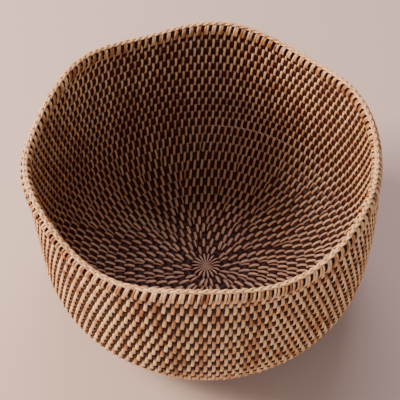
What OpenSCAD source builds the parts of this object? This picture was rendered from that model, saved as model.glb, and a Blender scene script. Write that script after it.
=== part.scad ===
// Woven fruit basket. Flat hoops of dark cane are stacked from the middle of the
// base up to the rim, and pale peel strips pass over and under them. The strips
// fold over a round pole at the top, and a flat plait closes the rim.
// Millimetres. Origin: middle of the underside. +Z is up, -Y is the front.

/* [Bowl] */
// Radius of the rim, to the middle of the rim pole
rim_r = 150; // [110:1:190]
// Height of the middle of the rim pole where the rim is level
rim_h = 184.5; // [150:0.5:230]
// How far the belly stands out beyond the rim
belly_out = 3.6; // [1:0.1:8]
// Radius of the curve from the base into the wall
corner_r = 75; // [55:1:90]
// Height of the upright band of wall above that curve
belly_h = 22; // [5:1:40]

/* [Weave] */
// Width of a flat hoop
hoop_w = 8.4; // [6:0.1:11]
// Thickness of a flat hoop
hoop_t = 3; // [2:0.1:4]
// Least space between two hoops, where the strips pass from side to side
hoop_space = 1.3; // [0.8:0.1:3]
// Thickness of a peel strip
peel_t = 0.9; // [0.5:0.1:1.4]
// Clearance between the hoops and the strips over them
peel_gap = 0.15; // [0.1:0.05:0.4]

/* [Rim] */
// Diameter of the round rim pole
pole_d = 5.2; // [4:0.1:8]
// Thickness of the plait on top of the rim
plait_t = 1.4; // [0.8:0.1:2.5]
// Angle that the plait covers over the top of the rim
plait_angle = 100; // [60:5:140]

/* [Waves] */
// Number of rounded waves round the rim
lobes = 6; // [4:1:9]
// Height of those waves above and below the level rim
lobe_up = 4.8; // [0:0.1:8]
// Direction of the first high wave, from +X towards +Y
lobe_up_at = 26; // [0:1:59]
// How far the waves stand in and out
lobe_out = 1.2; // [0:0.1:4]
// Direction of the first outward wave
lobe_out_at = 9; // [0:1:59]
// How much the rim is raised on one side
lean_up = 4.2; // [0:0.1:8]
// Direction of the raised side
lean_at = 157; // [0:1:359]
// How much two opposite sides of the rim are raised
saddle_up = 5.3; // [0:0.1:9]
// Direction of the first of those sides
saddle_at = 139; // [0:1:179]
// How far the rim is out of round
oval_out = 2.4; // [0:0.1:5]
// Direction of its long side
oval_at = 57; // [0:1:179]
// How far the rim tends to three corners
corner_out = 2.2; // [0:0.1:5]
// Direction of the first of those corners
corner_at = 69; // [0:1:119]

/* [Hidden] */
$fn = 96;
wave_steps = 60;
cane = "#2b2019";
peel = "#c3965f";
peel_light = "#dcc096";

// The middle line of the weave: a flat base, the corner, the upright band and a
// slight arc inwards to the rim. Distances along it are measured from the axis.
wall_t = hoop_t + 2 * (peel_gap + peel_t);
base_z = wall_t / 2;
belly_r = rim_r + belly_out;
base_r = belly_r - corner_r;
belly_top = base_z + corner_r + belly_h;
upper_h = rim_h - belly_top;
upper_r = (upper_h * upper_h + belly_out * belly_out) / (2 * belly_out);
upper_angle = asin(upper_h / upper_r);
s_corner = base_r;
s_belly = s_corner + corner_r * PI / 2;
s_upper = s_belly + belly_h;
s_rim = s_upper + upper_r * upper_angle * PI / 180;

// Rows of hoops, evenly spaced from the axis to the rim pole
rows = floor(s_rim / (hoop_w + hoop_space));
pitch = s_rim / rows;
plain_rows = floor(s_upper / pitch - 0.5);
s_wave = (plain_rows + 0.5) * pitch;
s_top = (rows - 0.5) * pitch;
centre_r = pitch - hoop_w / 2 - hoop_space / 2;

// Distances of the strips' two faces from the middle line
face_near = hoop_t / 2 + peel_gap;
face_far = face_near + peel_t;

// Radii about the rim pole's centre
wrap_near = pole_d / 2 + peel_gap;
wrap_far = wrap_near + peel_t;
plait_near = wrap_far + peel_gap;
plait_far = plait_near + plait_t;

// How far below the pole's sides the wraps still follow it, as an angle
wrap_under = 22;

function hoop_name(row) = str("hoop_", row < 10 ? "0" : "", row);

// Direction of the middle line at distance s, as degrees above the floor
function slope(s) =
    s < s_corner ? 0 :
    s < s_belly ? (s - s_corner) / corner_r * 180 / PI :
    s < s_upper ? 90 : 90 + (s - s_upper) / upper_r * 180 / PI;

// Point [radius, height] of the middle line at distance s
function middle(s) =
    s < s_corner ? [s, base_z] :
    s < s_belly ? [base_r + corner_r * sin(slope(s)), base_z + corner_r * (1 - cos(slope(s)))] :
    s < s_upper ? [belly_r, base_z + corner_r + s - s_belly] :
    [belly_r - upper_r * (1 - cos(slope(s) - 90)), belly_top + upper_r * sin(slope(s) - 90)];

// Point at distance s and at d outside the middle line
function beside(s, d) = middle(s) + d * [sin(slope(s)), -cos(slope(s))];

// Section of a layer between two distances from the middle line
function layer(stops, d_in, d_out) = concat(
    [for (s = stops) beside(s, d_out)],
    [for (i = [len(stops) - 1:-1:0]) beside(stops[i], d_in)]
);
plain_stops = concat(
    [0, s_corner],
    [for (i = [0:2 * plain_rows + 1]) if (i * pitch / 2 > s_corner) i * pitch / 2]
);
waved_stops = [for (i = [plain_rows:rows - 1]) (i + 0.5) * pitch];

// Flat six-sided section of a hoop in the waved part of the wall
function hoop_section(row) =
    let (s = row * pitch, end = hoop_w / 2, shoulder = (hoop_w - hoop_t) / 2, side = hoop_t / 2)
    [beside(s - end, 0), beside(s - shoulder, side), beside(s + shoulder, side),
     beside(s + end, 0), beside(s + shoulder, -side), beside(s - shoulder, -side)];

// Points of an arc about the rim pole's centre, from angle a to angle b
function rim_arc(radius, a, b, steps) =
    [for (i = [0:steps]) let (t = a + (b - a) * i / steps) [rim_r, rim_h] + radius * [cos(t), sin(t)]];

// The rim's waves: how far out and how far up the rim goes in direction a
function wave_out(a) = lobe_out * cos(lobes * (a - lobe_out_at))
    + oval_out * cos(2 * (a - oval_at)) + corner_out * cos(3 * (a - corner_at));
function wave_up(a) = lobe_up * cos(lobes * (a - lobe_up_at))
    + lean_up * cos(a - lean_at) + saddle_up * cos(2 * (a - saddle_at));

// The waves start at the top of the plain rows and are full at the rim
wave_z = middle(s_wave)[1];
function wave_share(z) = z < wave_z ? 0 : pow(min(1, (z - wave_z) / (rim_h - wave_z)), 2);
function waved(p, a) =
    let (share = wave_share(p[1]), r = p[0] + share * wave_out(a))
    [r * cos(a), r * sin(a), p[1] + share * wave_up(a)];

// A closed ring: the section goes round the axis and follows the waves
module waved_ring(section) {
    n = len(section);
    points = [for (k = [0:wave_steps - 1]) for (p = section) waved(p, k * 360 / wave_steps)];
    faces = [
        for (k = [0:wave_steps - 1]) for (i = [0:n - 1])
            let (here = k * n, next = ((k + 1) % wave_steps) * n, j = (i + 1) % n)
            each [[here + i, here + j, next + j], [here + i, next + j, next + i]]
    ];
    polyhedron(points, faces, convexity = 8);
}

// Round-ended section of a hoop in the plain part
module plain_hoop_section() {
    square([hoop_w - hoop_t, hoop_t], center = true);
    for (end = [-1, 1]) translate([end * (hoop_w - hoop_t) / 2, 0]) circle(d = hoop_t);
}

// One hoop of dark cane
module hoop(row) {
    color(cane)
    if (row > plain_rows) waved_ring(hoop_section(row));
    else rotate_extrude()
        translate(middle(row * pitch)) rotate(slope(row * pitch)) plain_hoop_section();
}

// The middle of the base, where the first strips cross each other
module centre_crossing() {
    color(peel)
    translate([0, 0, base_z - hoop_t / 2]) cylinder(r = centre_r, h = hoop_t);
}

// Strips on the outside of the base and belly, with the face that it stands on
module outside_strips() {
    color(peel) rotate_extrude() polygon(layer(plain_stops, face_near, face_far));
}

// Strips on the inside of the base and belly
module inside_strips() {
    color(peel) rotate_extrude() polygon(layer(plain_stops, -face_far, -face_near));
}

// The same strips above the belly, where the wall starts to wave
module upper_outside_strips() {
    color(peel) waved_ring(layer(waved_stops, face_near, face_far));
}

module upper_inside_strips() {
    color(peel) waved_ring(layer(waved_stops, -face_far, -face_near));
}

// Round dark pole that stiffens the rim
module rim_pole() {
    color(cane) waved_ring(rim_arc(pole_d / 2, 0, 330, 11));
}

// Ends of the strips, folded over the pole from one side of the wall to the other
module rim_wrap() {
    color(peel_light) waved_ring(concat(
        [beside(s_top, face_near), beside(s_top, face_far)],
        rim_arc(wrap_far, -wrap_under, 180 + wrap_under, 10),
        [beside(s_top, -face_far), beside(s_top, -face_near)],
        rim_arc(wrap_near, 180 + wrap_under, -wrap_under, 10)
    ));
}

// Flat plait of pale peel along the top of the rim
module rim_plait() {
    from = 90 - plait_angle / 2;
    to = 90 + plait_angle / 2;
    color(peel_light) waved_ring(concat(
        rim_arc(plait_far, from, to, 6), rim_arc(plait_near, to, from, 6)
    ));
}

centre_crossing();
outside_strips();
inside_strips();
upper_outside_strips();
upper_inside_strips();
rim_pole();
rim_wrap();
rim_plait();
for (row = [1:rows - 1]) hoop(row);
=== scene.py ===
import math

import bpy
import numpy as np
from mathutils import Matrix, Vector


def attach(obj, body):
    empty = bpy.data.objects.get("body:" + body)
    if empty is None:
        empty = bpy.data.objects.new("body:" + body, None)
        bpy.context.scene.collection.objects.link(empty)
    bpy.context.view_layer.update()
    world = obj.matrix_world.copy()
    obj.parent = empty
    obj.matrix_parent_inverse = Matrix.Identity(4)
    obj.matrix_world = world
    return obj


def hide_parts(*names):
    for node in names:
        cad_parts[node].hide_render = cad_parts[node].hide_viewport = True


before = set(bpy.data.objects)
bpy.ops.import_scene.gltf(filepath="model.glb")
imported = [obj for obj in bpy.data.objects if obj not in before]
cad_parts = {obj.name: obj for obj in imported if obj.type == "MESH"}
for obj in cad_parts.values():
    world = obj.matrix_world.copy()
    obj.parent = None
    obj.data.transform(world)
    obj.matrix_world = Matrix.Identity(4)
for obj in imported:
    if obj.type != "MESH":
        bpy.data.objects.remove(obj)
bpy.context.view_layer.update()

rng = np.random.default_rng(31)


# The hoops. Thirty flat rings of dark-stained cane are the warp of the basket, one outside
# the other across the base and then one above the other up the wall. Each follows the line
# of its own CAD ring, so the upper ones rise and fall with the rim.
MM = 0.001
ROWS = 1 + sum(name.startswith("hoop_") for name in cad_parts)
HOOP_THICK = 2.3 * MM
HOOP_OVERLAP = 1.02
HOOP_STEPS = 180
TERMS = 9

# Painted shade: strands are darkened where they lie less than CREVICE off the middle of the weave,
# in the creases where they pass between the hoops. Corners of a profile no higher than FLAT count
# as its edge. FIBRE_SHIFT, in millimetres, sets the fibres of one strand apart from those of the next.
CREVICE = 1.6 * MM
CREVICE_FALL = 1.3
FLAT = 0.1
FIBRE_SHIFT = 40


def turns(angle, slope=False):
    """Cosines and sines that a closed line is made of, or their slopes, at each angle"""
    k = np.arange(TERMS)
    a = np.asarray(angle)[..., None] * k
    if slope:
        return np.concatenate([-k * np.sin(a), k * np.cos(a)], -1)
    return np.concatenate([np.cos(a), np.sin(a)], -1)


def ring_line(node):
    """How the radius and the height of a CAD ring's middle go round the axis"""
    points = np.array([v.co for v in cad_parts[node].data.vertices])
    angle = np.arctan2(points[:, 1], points[:, 0])
    radius = np.hypot(points[:, 0], points[:, 1])
    return np.linalg.lstsq(turns(angle), np.column_stack([radius, points[:, 2]]), rcond=None)[0]


def between(rows, at):
    """Smooth curve through one value for each row: the value and its slope at each place"""
    rows = np.concatenate([2 * rows[:1] - rows[1:2], rows, 2 * rows[-1:] - rows[-2:-1]])
    i = np.clip(np.floor(at).astype(int), 0, len(rows) - 4)
    t = (at - i).reshape(np.shape(at) + (1,) * (rows.ndim - 1))
    a, b, c, d = (rows[i + n] for n in range(4))
    first, second, third = c - a, 2 * a - 5 * b + 4 * c - d, 3 * b - a - 3 * c + d
    value = b + (first * t + second * t ** 2 + third * t ** 3) / 2
    return value, (first + 2 * second * t + 3 * third * t ** 2) / 2


# Row 0 is the basket's axis, rows 1 to 30 are the hoops, and the last row is the rim pole
hoop_lines = [ring_line(f"hoop_{row:02d}") for row in range(1, ROWS)]
axis_line = np.zeros_like(hoop_lines[0])
axis_line[0, 1] = hoop_lines[0][0, 1]
LINES = np.stack([axis_line] + hoop_lines + [ring_line("rim_pole")])


def unit(v):
    return v / np.linalg.norm(v, axis=-1, keepdims=True)


def weave(row, angle):
    """Point on the middle of the weave, with the directions round, up and out there"""
    row, angle = np.broadcast_arrays(np.asarray(row, float), np.asarray(angle, float))
    line, rise = between(LINES, row)
    here, turn = turns(angle)[..., None], turns(angle, slope=True)[..., None]
    r, z = np.moveaxis((line * here).sum(-2), -1, 0)
    r_up, z_up = np.moveaxis((rise * here).sum(-2), -1, 0)
    r_round, z_round = np.moveaxis((line * turn).sum(-2), -1, 0)
    c, s = np.cos(angle), np.sin(angle)
    point = np.stack([r * c, r * s, z], -1)
    up = unit(np.stack([r_up * c, r_up * s, z_up], -1))
    round_ = unit(np.stack([r_round * c - r * s, r_round * s + r * c, z_round], -1))
    return point, round_, up, unit(np.cross(round_, up))


def sweep(name, strands, profile, closed=False, cuts=1, columns=6):
    """One mesh of many strands, each a profile carried along its own line. A strand holds its
    points, its directions across and out, its width and thickness and, if it needs them, its
    tone, its height off the middle of the weave, which sets the painted shade in the creases, and
    how worn it is on the inside. For baking, each strand is cut into lengths, and each length
    has a cell of its own in the OFBake map."""
    sides = len(profile)
    rows = math.ceil(len(strands) * cuts / columns)
    k = np.arange(sides)
    k_next = (k + 1) % sides
    side_edge, end_edge = 0.06, 0.02
    points, faces, tones, inners, painted_shades, fibre, sheet = [], [], [], [], [], [], []
    first_point = 0
    for number, s in enumerate(strands):
        n = len(s["line"])
        x = profile[:, 0] * s["width"][:, None] / 2
        y = profile[:, 1] * s["thick"][:, None] / 2
        points.append((s["line"][:, None] + x[..., None] * s["across"][:, None]
                       + y[..., None] * s["out"][:, None]).reshape(-1, 3))

        # Values for the colour: the strand's tone, its worn face, and the painted shade where it lies low
        # in the weave
        tones.append(np.repeat(s.get("tone", 0.5) * np.ones(n), sides))
        inners.append(np.outer(s.get("worn", np.ones(n)), profile[:, 1] < -FLAT).ravel())
        # Painted shade: the lower a face lies in the weave, the darker it is coloured
        painted_shade = np.zeros((n, sides))
        if "lift" in s:
            lift = s["lift"][:, None]
            face = np.where(np.abs(profile[:, 1]) > FLAT, np.sign(profile[:, 1]) * lift, np.abs(lift))
            painted_shade += np.clip(1 - (face + s["thick"][:, None] / 2) / CREVICE, 0, 1) ** CREVICE_FALL
        painted_shades.append(painted_shade.ravel())

        steps = n if closed else n - 1
        j = np.arange(steps)[:, None]
        here, ahead = j * sides, (j + 1) % n * sides
        quads = np.stack(np.broadcast_arrays(here + k, here + k_next, ahead + k_next, ahead + k), -1)
        faces += (quads.reshape(-1, 4) + first_point).tolist()

        # Millimetres round the profile and along the strand, for the fibres
        gaps = np.linalg.norm(np.diff(s["line"], axis=0, append=s["line"][:1]), axis=1)
        along = np.concatenate([[0], np.cumsum(gaps)]) / MM
        over = (profile[:, 0] + 2 * (profile[:, 1] < 0)) * s["width"].mean() / 2 / MM
        shift = FIBRE_SHIFT * rng.uniform(0, 9, 2)
        u = np.stack([over[k], over[k_next], over[k_next], over[k]], -1)
        v = np.stack([along[j], along[j], along[j + 1], along[j + 1]], -1)
        fibre.append(np.stack(np.broadcast_arrays(u, v), -1).reshape(-1, 2) + shift)

        # The cell that each length has in the bake map
        part = j * cuts // steps
        start = -(-part * steps // cuts)
        length = -(-(part + 1) * steps // cuts) - start
        left, low = np.divmod(number * cuts + part, columns)[::-1]
        u = np.stack([k, k + 1, k + 1, k], -1) / sides
        v = np.stack([j - start, j - start, j + 1 - start, j + 1 - start], -1) / length[..., None]
        u = (left[..., None] + side_edge + (1 - 2 * side_edge) * u) / columns
        v = (low[..., None] + end_edge + (1 - 2 * end_edge) * v) / rows
        sheet.append(np.stack(np.broadcast_arrays(u, v), -1).reshape(-1, 2))

        if not closed:
            for end, edge, order in ((0, end_edge, 1), (-1, 1 - end_edge, -1)):
                faces.append((first_point + end % n * sides + k)[::-order].tolist())
                fibre.append(np.column_stack([over, np.full(sides, along[end % n])])[::-order] + shift)
                spot = [(left[end, 0] + 0.5) / columns, (low[end, 0] + edge) / rows]
                sheet.append(np.tile(spot, (sides, 1)))
        first_point += n * sides
    mesh = bpy.data.meshes.new(name)
    mesh.from_pydata(np.concatenate(points).tolist(), [], faces)
    for layer, values in (("Fibre", fibre), ("OFBake", sheet)):
        mesh.uv_layers.new(name=layer).data.foreach_set("uv", np.concatenate(values).ravel())
    for layer, values in (("tone", tones), ("inner", inners), ("painted_shade", painted_shades)):
        mesh.attributes.new(layer, "FLOAT", "POINT").data.foreach_set("value", np.concatenate(values))
    mesh.shade_smooth()
    piece = bpy.data.objects.new(name, mesh)
    bpy.context.scene.collection.objects.link(piece)
    return piece


def linear(code):
    """sRGB hex colour as linear red, green and blue with alpha 1"""
    parts = [int(code[i:i + 2], 16) / 255 for i in (1, 3, 5)]
    return [c / 12.92 if c <= 0.04045 else ((c + 0.055) / 1.055) ** 2.4 for c in parts] + [1]


def add(tree, kind, links={}, **settings):
    """One shader node with its settings. A link is a value or another node's output."""
    made = tree.nodes.new("ShaderNode" + kind)
    for name, value in settings.items():
        setattr(made, name, value)
    for socket, value in links.items():
        if isinstance(value, bpy.types.NodeSocket):
            tree.links.new(value, made.inputs[socket])
        else:
            made.inputs[socket].default_value = value
    return made


def new_material(name):
    """Empty material with its tree and its shader"""
    made = bpy.data.materials.new(name)
    made.use_nodes = True
    return made, made.node_tree, made.node_tree.nodes["Principled BSDF"]


# Cane stained dark brown, which shows lighter along the grain and keeps a low gloss. The grain
# is 0.7 mm wide, coarser than real, so that it shows.
stained_cane, tree, shader = new_material("stained cane")
fibre = add(tree, "UVMap", uv_map="Fibre")
stretched = add(tree, "Mapping", {"Vector": fibre.outputs[0], "Scale": (1.4, 0.09, 1)})
grain = add(tree, "TexNoise", {"Vector": stretched.outputs[0], "Scale": 1, "Detail": 3})
stain = add(tree, "ValToRGB", {"Fac": grain.outputs[0]})
stain.color_ramp.elements[0].color = linear("#2a110a")
stain.color_ramp.elements[1].color = linear("#482317")
stain.color_ramp.elements[0].position, stain.color_ramp.elements[1].position = 0.3, 0.75
gloss = add(tree, "MapRange", {"Value": grain.outputs[0], "To Min": 0.34, "To Max": 0.5})
shader.inputs["Specular IOR Level"].default_value = 0.14
ridges = add(tree, "Bump", {"Height": grain.outputs[0], "Strength": 0.4, "Distance": 0.15 * MM})
tree.links.new(stain.outputs[0], shader.inputs["Base Color"])
tree.links.new(gloss.outputs[0], shader.inputs["Roughness"])
tree.links.new(ridges.outputs[0], shader.inputs["Normal"])

# A hoop's section is a flat body with rounded shoulders and thin shaved edges, which reach the
# next hoops and close the wall between the strips.
hoop_section = np.array([
    [1, -0.32], [0.56, -0.25], [0.5, 0.5], [0.38, 0.9], [0, 1],
    [-0.38, 0.9], [-0.5, 0.5], [-0.56, -0.25], [-1, -0.32],
    [-1, -0.4], [-0.6, -0.5], [-0.5, -0.75], [0, -1], [0.5, -0.75], [0.6, -0.5], [1, -0.4],
])
round_angles = np.linspace(0, 2 * math.pi, HOOP_STEPS, endpoint=False)
for row in range(1, ROWS):
    line, round_, up, out = weave(np.full(HOOP_STEPS, row), round_angles)
    gap = weave(row + 0.5, round_angles)[0] - weave(row - 0.5, round_angles)[0]
    hoop = sweep(f"cane_hoop_{row:02d}", [{
        "line": line, "across": up, "out": out,
        "width": HOOP_OVERLAP * np.linalg.norm(gap, axis=1),
        "thick": np.full(HOOP_STEPS, HOOP_THICK),
    }], hoop_section, closed=True, cuts=6, columns=6)
    hoop.data.materials.append(stained_cane)
    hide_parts(f"hoop_{row:02d}")
    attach(hoop, "root")


# The peel strips. Each is split from the glossy skin of rattan and goes over one hoop and
# under the next, from the middle of the base to the rim. As the base widens, more join in
# folded pairs, nine at each hoop, until 270 of them climb the wall.
FIRST_STRIPS = 18
PAIRS_A_ROW = 9
LAST_JOIN = 15
STRIP_WIDTH = 3.25 * MM
STRIP_THICK = 1.4 * MM
STRIP_LIFT = 1.85 * MM
STRIP_LEAN = 0.32 * MM
STEPS_A_ROW = 8

# A new strip starts narrow and takes its full room three hoops on. Each row's new pairs start a
# golden step further round than the last row's. As it is handwork, the strips are closer
# together on one side and crowd in five slow waves.
YOUNG = (0.4, 0.7, 0.9, 1.0)
GOLDEN_STEP = 0.618
JOIN_SPREAD = 0.2
CLOSE_SIDE, CLOSE_AT = 0.045, 0.1
CROWDS, CROWDING = 5, 0.012
STRIP_WANDER = 0.12 * MM
STRIP_FILL = 1.03

order, strips = [], []
for row in range(1, ROWS + 1):
    if row == 1:
        order = [{"start": 1, "angles": [], "widths": []} for _ in range(FIRST_STRIPS)]
        strips += order
    elif row <= LAST_JOIN:
        spread = GOLDEN_STEP * row % 1 + rng.uniform(-JOIN_SPREAD, JOIN_SPREAD, PAIRS_A_ROW)
        places = (np.arange(PAIRS_A_ROW) + spread) / PAIRS_A_ROW
        for place in sorted(places % 1, reverse=True):
            pair = [{"start": row, "angles": [], "widths": []} for _ in range(2)]
            at = int(place * len(order))
            order[at:at] = pair
            strips += pair
    weights = np.array([YOUNG[min(row - s["start"], 3)] if row > 1 else 1 for s in order])
    angles = (np.cumsum(weights) - weights / 2) / weights.sum() * 2 * math.pi
    angles = angles - CLOSE_SIDE * np.cos(angles + CLOSE_AT) + CROWDING * np.sin(CROWDS * angles)
    drift = [(s["angles"][-1] - a + math.pi) % (2 * math.pi) - math.pi
             for s, a in zip(order, angles) if s["angles"]]
    angles += np.mean(drift) if drift else 0
    radius = LINES[row][0, 0]
    angles += rng.normal(0, STRIP_WANDER, len(order)) / radius
    room = 2 * math.pi * radius * weights / weights.sum()
    for m, (s, a, w) in enumerate(zip(order, angles, room)):
        last = s["angles"][-1] if s["angles"] else a
        s["angles"].append(last + (a - last + math.pi) % (2 * math.pi) - math.pi)
        s["widths"].append(min(STRIP_WIDTH, STRIP_FILL * w))
        s["parity"] = m % 2

# Each strip runs smoothly from row to row and has a tone of its own
MIDDLE_TONE, STRIP_TONES = 0.5, 0.06
for s in strips:
    a = np.array(s["angles"])
    for _ in range(2):
        a[1:-1] = (a[:-2] + 2 * a[1:-1] + a[2:]) / 4
    s["angles"] = a
    s["tone"] = float(np.clip(rng.normal(MIDDLE_TONE, STRIP_TONES), 0.3, 0.7))

# Section of a split strip: crowned on the skin side and rounder below
crowned = np.array([[-1, 0], [-0.72, 0.66], [0, 0.9], [0.72, 0.66],
                    [1, 0], [0.66, -0.7], [0, -1], [-0.66, -0.7]])

# Each float differs a little in how high it stands and in its tone. Inside, the floats lie
# lower. From the base to the wall they get slimmer there, and further up they are less worn.
LIFT_HOLD = 1.3
LIFT_SPREAD, TONE_SPREAD = 0.05, 0.1
INSIDE_LIFT = 0.82
FLOAT_SHARE, OUTSIDE_MORE = 0.93, 0.04
SLIM_ROWS, SLIM_SHARE = (6, 16), (-0.04, 0.24)
WORN_ROWS, WORN_SHARE = (12, 26), (1, 0.4)
SWAY_RADIUS = 20 * MM


def strip_strand(s, first, last):
    """One strip as it weaves between two places, in rows from the axis. Its floats lie flat
    over the hoops and lean a little. `shown` is 1 on top outside and -1 on top inside."""
    steps = round((last - first) * STEPS_A_ROW)
    at = np.linspace(first, last, steps + 1)
    angle, _ = between(s["angles"], at - s["start"])
    age = np.maximum(at - s["start"], 0)
    width = np.interp(age, np.arange(len(s["widths"])), s["widths"])
    shown = np.cos(math.pi * at) * (1 - 2 * s["parity"])
    slim = np.interp(at, SLIM_ROWS, SLIM_SHARE)
    width = width * (FLOAT_SHARE + OUTSIDE_MORE * np.maximum(shown, 0) - slim * np.maximum(-shown, 0))
    sway = STRIP_LEAN * (1 - 2 * s["parity"]) * np.sin(math.pi * at)
    sway += 0.5 * STRIP_LEAN * np.sin(2 * math.pi * at) * np.maximum(shown, 0)
    angle = angle + sway / np.maximum(between(LINES[:, 0, 0], at)[0], SWAY_RADIUS)
    point, round_, up, out = weave(at, angle)
    firm = 1 + np.interp(at, np.arange(ROWS + 1), rng.normal(0, LIFT_SPREAD, ROWS + 1))
    lift = STRIP_LIFT * firm * np.tanh(LIFT_HOLD * shown) / math.tanh(LIFT_HOLD)
    lift = lift * np.where(shown > 0, 1, INSIDE_LIFT)
    line = point + out * lift[:, None]
    ahead = unit(np.gradient(line, axis=0))
    across = unit(round_ - ahead * (round_ * ahead).sum(-1, keepdims=True))
    taper = np.minimum(1, 0.55 + 0.9 * np.minimum(at - first, last - at))
    thick = STRIP_THICK * (1 + 0.4 * (1 - np.abs(shown)) ** 1.5)
    tone = s["tone"] + np.interp(at, np.arange(ROWS + 1), rng.normal(0, TONE_SPREAD, ROWS + 1))
    return {"line": line, "across": across, "out": np.cross(across, ahead),
            "width": width * taper, "thick": thick * taper, "tone": tone,
            "lift": lift, "worn": np.interp(at, WORN_ROWS, WORN_SHARE)}


# Natural rattan peel: honey tan with paler and browner lengths among it, and long fibres, with a
# satin gloss. Inside the bowl it is worn greyer and duller, most of all on the base. Shade is
# painted darker where the strips dive between the hoops. The fibres are drawn 0.6 mm wide,
# coarser than real, so that they show, and the lengths are about 30 mm.
def peel_material(name, colours, pith, gloss):
    made, tree, shader = new_material(name)
    fibre = add(tree, "UVMap", uv_map="Fibre")
    stretched = add(tree, "Mapping", {"Vector": fibre.outputs[0], "Scale": (1.6, 0.07, 1)})
    streaks = add(tree, "TexNoise", {"Vector": stretched.outputs[0], "Scale": 1, "Detail": 3})
    place = add(tree, "TexCoord")
    patches = add(tree, "TexNoise", {"Vector": place.outputs["Object"], "Scale": 32, "Detail": 2})
    tone = add(tree, "Attribute", attribute_name="tone")
    mixed = add(tree, "Math", {0: streaks.outputs[0], 1: 0.3, 2: tone.outputs["Fac"]},
                operation="MULTIPLY_ADD")
    total = add(tree, "Math", {0: patches.outputs[0], 1: 0.5, 2: mixed.outputs[0]},
                operation="MULTIPLY_ADD")
    ramp = add(tree, "ValToRGB", {"Fac": total.outputs[0]})
    ramp.color_ramp.elements[0].position, ramp.color_ramp.elements[1].position = 0.6, 0.98
    ramp.color_ramp.elements[0].color = linear(colours[0])
    ramp.color_ramp.elements[1].color = linear(colours[2])
    ramp.color_ramp.elements.new(0.8).color = linear(colours[1])
    inner = add(tree, "Attribute", attribute_name="inner")
    share = add(tree, "Math", {0: inner.outputs["Fac"], 1: 0.95}, operation="MULTIPLY")
    duller = add(tree, "Mix", {"Factor": 0.3, 6: linear(pith), 7: ramp.outputs[0]}, data_type="RGBA")
    skin = add(tree, "Mix", {"Factor": share.outputs[0], 6: ramp.outputs[0], 7: duller.outputs[2]},
               data_type="RGBA")
    # Painted shade: the colour is multiplied towards #64483a where the strand lies low in the weave, in the
    # creases between hoops and strips
    painted_shade = add(tree, "Attribute", attribute_name="painted_shade")
    painted_shade_mix = add(tree, "Mix", {"Factor": painted_shade.outputs["Fac"], 6: skin.outputs[2], 7: linear("#64483a")},
               data_type="RGBA", blend_type="MULTIPLY")
    rough = add(tree, "MapRange", {"Value": streaks.outputs[0], "To Min": gloss, "To Max": gloss + 0.2})
    ridges = add(tree, "Bump", {"Height": streaks.outputs[0], "Strength": 0.35, "Distance": 0.2 * MM})
    tree.links.new(painted_shade_mix.outputs[2], shader.inputs["Base Color"])
    tree.links.new(rough.outputs[0], shader.inputs["Roughness"])
    tree.links.new(ridges.outputs[0], shader.inputs["Normal"])
    return made


rattan_peel = peel_material("rattan peel", ("#96562a", "#c58850", "#ecbc84"), "#c8a798", 0.25)
for group in range(1, LAST_JOIN + 1, 2):
    members = [s for s in strips if s["start"] in (group, group + 1)]
    piece = sweep(f"peel_strips_{group:02d}_{group + 1:02d}",
                  [strip_strand(s, max(s["start"], 2) - 0.5, ROWS - 0.5) for s in members],
                  crowned, columns=36)
    piece.data.materials.append(rattan_peel)
    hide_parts("outside_strips", "inside_strips", "upper_outside_strips", "upper_inside_strips")
    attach(piece, "root")


# The crossing. Nine strips cross in the middle of the base on the inside and nine below it,
# so that a star of eighteen legs shows on each side before the weave begins. They are split
# narrow where they cross, and pile up one on another there.
STAR_REACH = 1.5
STAR_STEPS = 33
STAR_THICK = 0.8 * MM
LOWER_TURN = 0.25
legs = []
way = np.linspace(-1, 1, STAR_STEPS)
for face in (-1, 1):
    for k in range(FIRST_STRIPS // 2):
        angle = (k + (LOWER_TURN if face > 0 else 0)) * 2 * math.pi / FIRST_STRIPS
        reach = STAR_REACH * LINES[1][0, 0]
        lift = STRIP_LIFT * np.minimum(1, 6 * (1 - np.abs(way)))
        pile = (0.12 + 0.035 * k) * MM * np.exp(-(way * 5) ** 2)
        z = axis_line[0, 1] - face * (lift + pile)
        line = np.stack([way * reach * math.cos(angle), way * reach * math.sin(angle), z], -1)
        across = np.tile([-math.sin(angle), math.cos(angle), 0], (STAR_STEPS, 1))
        ahead = unit(np.gradient(line, axis=0))
        width = (0.35 + 2.1 * np.abs(way)) * MM * np.minimum(1, 0.6 + 2 * (1 - np.abs(way)))
        # The legs' lift entry is not their height: it sets only their painted shade, darkest at the middle
        # of the star
        legs.append({"line": line, "across": across, "out": np.cross(across, ahead), "width": width,
                     "thick": np.full(STAR_STEPS, STAR_THICK), "tone": 0.4 + 0.03 * k,
                     "lift": face * CREVICE * np.minimum(0.75, 5 * np.abs(way))})
crossing = sweep("peel_crossing", legs, crowned, columns=18)
crossing.data.materials.append(rattan_peel)
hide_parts("centre_crossing")
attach(crossing, "root")


# The rim pole. A round dark cane lies along the top of the wall as the last hoop. Its underside
# is shaved to a thin edge that sits on the hoop below. It shows only between the folded ends.
POLE_RADIUS = 2.6 * MM
POLE_STEPS = 240
pole_angles = np.linspace(0, 2 * math.pi, POLE_STEPS, endpoint=False)
pole_turn = np.radians(np.arange(-150, 151, 30))
pole_round = np.column_stack([np.cos(pole_turn), np.sin(pole_turn)])
pole_section = np.concatenate([[[-1.95, -0.12]], pole_round, [[-1.95, 0.12]]])
line, round_, up, out = weave(np.full(POLE_STEPS, ROWS), pole_angles)
pole = sweep("cane_rim_pole", [{
    "line": line, "across": up, "out": out,
    "width": np.full(POLE_STEPS, 2 * POLE_RADIUS), "thick": np.full(POLE_STEPS, 2 * POLE_RADIUS),
}], pole_section, closed=True, cuts=8, columns=8)
pole.data.materials.append(stained_cane)
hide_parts("rim_pole")
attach(pole, "root")


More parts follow.
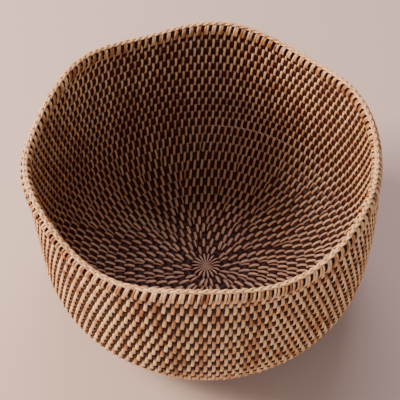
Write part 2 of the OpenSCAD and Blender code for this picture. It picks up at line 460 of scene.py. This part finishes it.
# The folded ends. Every strip ends in a loop over the pole, half of them from the outside
# and half from the inside. All the loops lean the same way round the rim, so that each side
# shows them in pairs, a rising strip with a falling one, and the dark pole between pairs.
FOLD_WIDTH = 2.4 * MM
FOLD_THICK = 1.4 * MM
FOLD_RADIUS = 4.0 * MM
FOLD_LEAN = 5.6 * MM
FOLD_TONES = 0.2

# A loop's foot comes out from under the last hoop: where it is in rows, how far it stands off
# the middle of the weave, and how much of the lean it has done by then
foot_rows = ROWS - 1 + np.array([0.1, 0.22, 0.36, 0.5, 0.65, 0.8])
foot_lift = np.array([-0.4, 1.4, 2.6, 3.4, 3.9, 4.05]) * MM
foot_lean = np.array([0, 0.01, 0.03, 0.06, 0.1, 0.15])
fold_turn = np.radians(np.arange(0, 181, 20))
folds = []
lean_angle = FOLD_LEAN / LINES[ROWS][0, 0]
for s in order:
    rising = s["parity"] == 1
    start = s["angles"][-1] - (0 if rising else lean_angle)
    lean = np.concatenate([foot_lean, np.linspace(0.2, 0.8, len(fold_turn)), 1 - foot_lean[::-1]])
    angle = start + lean * lean_angle
    rows = np.concatenate([foot_rows, np.full(len(fold_turn), ROWS), foot_rows[::-1]])
    middle, round_, up, out = weave(rows, angle)
    lift = np.concatenate([foot_lift, FOLD_RADIUS * np.cos(fold_turn), -foot_lift[::-1]])
    over = np.concatenate([0 * foot_lift, FOLD_RADIUS * np.sin(fold_turn), 0 * foot_lift])
    line = middle + lift[:, None] * out + over[:, None] * up
    turn = np.concatenate([0 * foot_lift, fold_turn, 0 * foot_lift + math.pi])[:, None]
    away = np.cos(turn) * out + np.sin(turn) * up
    ahead = unit(np.gradient(line, axis=0))
    across = unit(np.cross(ahead, away))
    ends = np.minimum(np.arange(len(line)), np.arange(len(line))[::-1])
    shape = np.interp(ends, [0, 1, 2, 4, 7], [0.75, 0.95, 1.03, 1, 0.86])
    folds.append({"line": line, "across": across, "out": np.cross(across, ahead),
                  "width": FOLD_WIDTH * shape * rng.uniform(0.95, 1.05),
                  "thick": np.full(len(line), FOLD_THICK),
                  "tone": float(np.clip(rng.normal(MIDDLE_TONE, FOLD_TONES), 0, 1))})

# Peel for the loops and the plait. They stand in the full light and look paler than the wall,
# so their own tan is a little deeper, and one loop differs more from the next.
pale_peel = peel_material("pale rattan peel", ("#8a4e26", "#b47a48", "#deae7c"), "#b8865c", 0.26)
fold = sweep("peel_folds", folds, crowned, columns=17)
fold.data.materials.append(pale_peel)
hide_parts("rim_wrap")
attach(fold, "root")


# The plait. Three flat strands of pale peel are plaited along the top of the rim, over the
# folded ends, and close it.
PLAIT_PERIODS = 45
PLAIT_STEPS = 20
PLAIT_STRANDS = 3
PLAIT_WIDTH = 1.9 * MM
PLAIT_THICK = 1.2 * MM
PLAIT_SWAY = 1.35 * MM
PLAIT_LIFT = 0.75 * MM
PLAIT_RADIUS = 4.95 * MM
strand_angles = np.linspace(0, 2 * math.pi, PLAIT_PERIODS * PLAIT_STEPS, endpoint=False)
middle, round_, up, out = weave(np.full(len(strand_angles), ROWS), strand_angles)
strands = []
for k in range(PLAIT_STRANDS):
    phase = strand_angles * PLAIT_PERIODS + 2 * math.pi * k / PLAIT_STRANDS
    over = PLAIT_SWAY * np.sin(phase) / PLAIT_RADIUS
    away = np.cos(over)[:, None] * up + np.sin(over)[:, None] * out
    line = middle + (PLAIT_RADIUS + PLAIT_LIFT * np.sin(2 * phase))[:, None] * away
    ahead = unit(np.roll(line, -1, 0) - np.roll(line, 1, 0))
    across = unit(np.cross(ahead, away))
    strands.append({"line": line, "across": across, "out": np.cross(across, ahead),
                    "width": np.full(len(line), PLAIT_WIDTH), "thick": np.full(len(line), PLAIT_THICK),
                    "tone": MIDDLE_TONE + 0.1 * k})
plait = sweep("peel_plait", strands, crowned, closed=True, cuts=12, columns=36)
plait.data.materials.append(pale_peel)
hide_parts("rim_plait")
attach(plait, "root")


# The floor that the basket stands on, plain and pale. It lies just under the lowest strips.
FLOOR_HALF, FLOOR_Z = 3, -0.3 * MM
floor_mesh = bpy.data.meshes.new("floor")
floor_corners = [(x * FLOOR_HALF, y * FLOOR_HALF, FLOOR_Z) for x, y in ((-1, -1), (1, -1), (1, 1), (-1, 1))]
floor_mesh.from_pydata(floor_corners, [], [(0, 1, 2, 3)])
floor = bpy.data.objects.new("floor", floor_mesh)
bpy.context.scene.collection.objects.link(floor)
paper, tree, shader = new_material("matt paper")
shader.inputs["Base Color"].default_value = linear("#c6ada0")
shader.inputs["Roughness"].default_value = 0.9
floor_mesh.materials.append(paper)


def soft_light(name, where, at, size, power, colour):
    """Square softbox that faces a point, in metres and watts"""
    lamp = bpy.data.lights.new(name, "AREA")
    lamp.size, lamp.energy, lamp.color = size, power, linear(colour)[:3]
    made = bpy.data.objects.new(name, lamp)
    bpy.context.scene.collection.objects.link(made)
    made.matrix_world = Matrix.Translation(where)
    made.rotation_mode = "QUATERNION"
    made.rotation_quaternion = (Vector(at) - Vector(where)).to_track_quat("-Z", "Y")


# A warm key from the left, a cooler sheen from behind and above, and a low cool fill in front
soft_light("key", (-1.6, 0.1, 1.15), (0, 0, 0.12), 0.8, 94, "#ffeede")
soft_light("sheen", (0.1, 1.3, 1.9), (0, 0, 0.05), 1.2, 30, "#f1e8ff")
soft_light("fill", (0.1, -2.0, 0.8), (0, 0, 0.1), 1.2, 15, "#e2e8ff")
world = bpy.data.worlds.new("studio")
bpy.context.scene.world = world
world.use_nodes = True
world.node_tree.nodes["Background"].inputs["Color"].default_value = linear("#f4ebe4")
world.node_tree.nodes["Background"].inputs["Strength"].default_value = 0.4

# The camera looks down at the front of the basket from above its rim
CAMERA_AT = (0.011458, -0.491986, 0.740452)
YAW, PITCH, ROLL = -0.034, 0.906, -0.014
lens = bpy.data.cameras.new("camera")
lens.lens, lens.sensor_width = 77.68, 36
camera = bpy.data.objects.new("camera", lens)
bpy.context.scene.collection.objects.link(camera)
forward = np.array([math.sin(YAW) * math.cos(PITCH), math.cos(YAW) * math.cos(PITCH), -math.sin(PITCH)])
side = np.array([math.cos(YAW), -math.sin(YAW), 0])
top = np.cross(side, forward)
right = math.cos(ROLL) * side + math.sin(ROLL) * top
above = -math.sin(ROLL) * side + math.cos(ROLL) * top
turned = np.eye(4)
turned[:3, 0], turned[:3, 1], turned[:3, 2] = right, above, -forward
turned[:3, 3] = CAMERA_AT
camera.matrix_world = Matrix(turned.tolist())
bpy.context.scene.camera = camera
